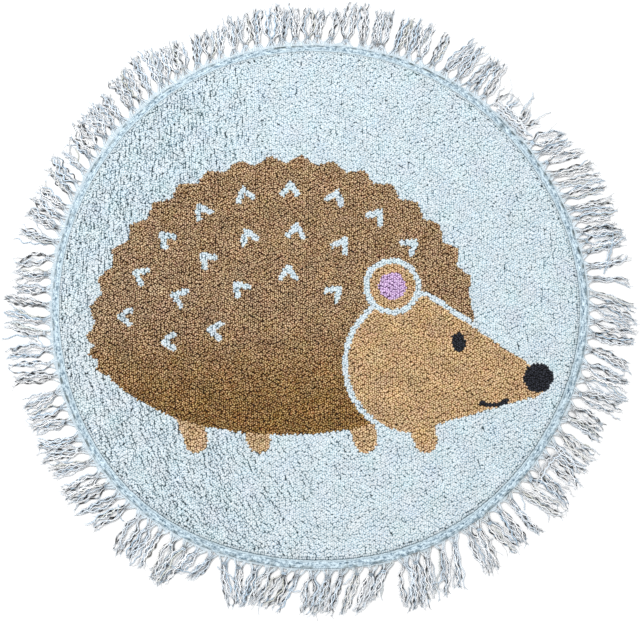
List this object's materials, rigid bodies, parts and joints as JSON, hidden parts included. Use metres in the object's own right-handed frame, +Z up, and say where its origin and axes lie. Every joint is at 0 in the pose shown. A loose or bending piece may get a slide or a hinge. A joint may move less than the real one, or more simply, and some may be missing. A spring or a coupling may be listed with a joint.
{
  "type": "round kids rug with an animal motif",
  "caption": "Flat round tufted cotton rug for a child's room, with an animal motif in the pile, a woven edge tape and a knotted yarn fringe.",
  "frame": {"origin": "centre of the rug's flat underside, on the floor", "axes": "+Z up, out of the pile; -Y towards the side at the bottom of the motif; +X to the right of the motif"},
  "size_m": [1.1762, 1.164, 0.0124],
  "materials": {
    "pile": "matt tufted cotton pile, pale ice blue with a brown motif",
    "tape": "matt flat woven cotton tape, light blue",
    "fringe_yarn": "matt twisted cotton yarn, off-white with a blue-grey cast"
  },
  "bodies": {
    "root": {"tufted_field": "pile", "edge_tape": "tape", "fringe": "fringe_yarn"}
  },
  "joints": []
}
